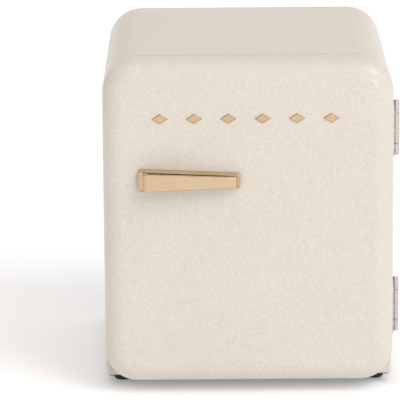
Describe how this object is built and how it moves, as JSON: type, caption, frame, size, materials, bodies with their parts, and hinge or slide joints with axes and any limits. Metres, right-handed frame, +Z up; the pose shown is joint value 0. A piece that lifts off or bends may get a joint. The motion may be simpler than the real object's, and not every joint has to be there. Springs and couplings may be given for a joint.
{
  "type": "mini refrigerator",
  "caption": "Retro table-top refrigerator with one right-hung insulated door, chiller box, glass shelf, door racks, levelling feet and a rear compressor with wire condenser",
  "frame": {"origin": "centre of the bounding box's underside, on the surface the feet stand on", "axes": "+Z up; +Y towards the back, so the door is on the -Y side; +X is the hinge side"},
  "size_m": [0.4605, 0.5156, 0.532],
  "materials": {
    "cream_enamel": "satin",
    "galvanised": "satin",
    "black_steel": "satin",
    "zinc": "satin",
    "gold": "brushed",
    "white_plastic": "gloss",
    "clear_plastic": "gloss",
    "black_plastic": "matte",
    "foam": "matte",
    "seal_rubber": "matte",
    "black_rubber": "matte",
    "magnet": "matte",
    "glass": "gloss",
    "aluminium": "satin",
    "copper": "satin",
    "compressor_black": "gloss",
    "motor_steel": "matte",
    "pressed_steel": "satin"
  },
  "bodies": {
    "cabinet": {"cabinet_shell": "cream_enamel", "lower_front_rail": "cream_enamel", "back_panel": "galvanised", "base_pan": "black_steel", "bay_step_plate": "galvanised", "rear_crossbar": "galvanised", "cord_gland": "black_plastic", "inner_liner": "white_plastic", "cabinet_foam": "foam", "foot_nuts": "pressed_steel", "rear_feet": "black_rubber", "hinge_cabinet_leaves": "zinc", "hinge_pins": "zinc", "hinge_screws_cabinet": "zinc", "evaporator_box": "aluminium", "chiller_frame": "white_plastic", "evaporator_hangers": "white_plastic", "drip_tray_rails": "white_plastic", "thermostat_housing": "white_plastic", "thermostat_switch": "black_plastic", "compressor_rail": "galvanised", "compressor_feet_plate": "pressed_steel", "compressor_grommets": "black_rubber", "compressor_bolts": "pressed_steel", "compressor_lower_can": "compressor_black", "compressor_upper_can": "compressor_black", "compressor_stator": "motor_steel", "compressor_crankcase": "motor_steel", "relay_cover": "black_plastic", "discharge_pipe": "copper", "condenser_tube": "black_steel", "condenser_wires": "black_steel", "condenser_brackets": "black_steel", "rear_screws": "pressed_steel", "filter_drier": "copper", "capillary_tube": "copper", "suction_pipe": "copper"},
    "door": {"door_skin": "cream_enamel", "door_liner": "white_plastic", "door_foam": "foam", "handle_backing_plate": "pressed_steel", "door_gasket": "seal_rubber", "gasket_magnets": "magnet", "lower_door_rack": "clear_plastic", "upper_door_rack": "clear_plastic", "rack_guards": "pressed_steel", "handle_base": "gold", "handle_screws": "gold", "handle_grip": "gold", "trim_studs": "gold", "hinge_door_leaves": "zinc", "hinge_screws_door": "zinc"},
    "shelf": {"shelf_glass": "glass", "shelf_trims": "white_plastic"},
    "drip_tray": {"drip_tray": "clear_plastic"},
    "chiller_flap": {"chiller_flap": "clear_plastic"},
    "thermostat_knob": {"thermostat_knob": "white_plastic"},
    "compressor_rotor": {"compressor_rotor": "motor_steel"},
    "front_left_foot": {"front_left_foot": "black_rubber"},
    "front_right_foot": {"front_right_foot": "black_rubber"}
  },
  "joints": [
    {"name": "door_swing", "type": "hinge", "parent": "cabinet", "child": "door", "pos_m": [0.22545, -0.16928, 0.275], "axis": [0, 0, 1], "range_deg": [0, 165]},
    {"name": "chiller_flap_swing", "type": "hinge", "parent": "cabinet", "child": "chiller_flap", "pos_m": [-0.04225, -0.05028, 0.48], "axis": [-1, 0, 0], "range_deg": [0, 85]},
    {"name": "thermostat_turn", "type": "hinge", "parent": "cabinet", "child": "thermostat_knob", "pos_m": [0.14925, -0.02528, 0.449], "axis": [0, -1, 0], "range_deg": [-270, 0]},
    {"name": "drip_tray_slide", "type": "slide", "parent": "cabinet", "child": "drip_tray", "axis": [0, -1, 0], "range_m": [0, 0.075]},
    {"name": "shelf_slide", "type": "slide", "parent": "cabinet", "child": "shelf", "axis": [0, -1, 0], "range_m": [0, 0.05]},
    {"name": "compressor_turn", "type": "hinge", "parent": "cabinet", "child": "compressor_rotor", "pos_m": [0.06475, 0.16472, 0.08], "axis": [0, 0, 1], "continuous": true},
    {"name": "left_foot_level", "type": "slide", "parent": "cabinet", "child": "front_left_foot", "axis": [0, 0, -1], "range_m": [0, 0.008]},
    {"name": "right_foot_level", "type": "slide", "parent": "cabinet", "child": "front_right_foot", "axis": [0, 0, -1], "range_m": [0, 0.008]}
  ]
}
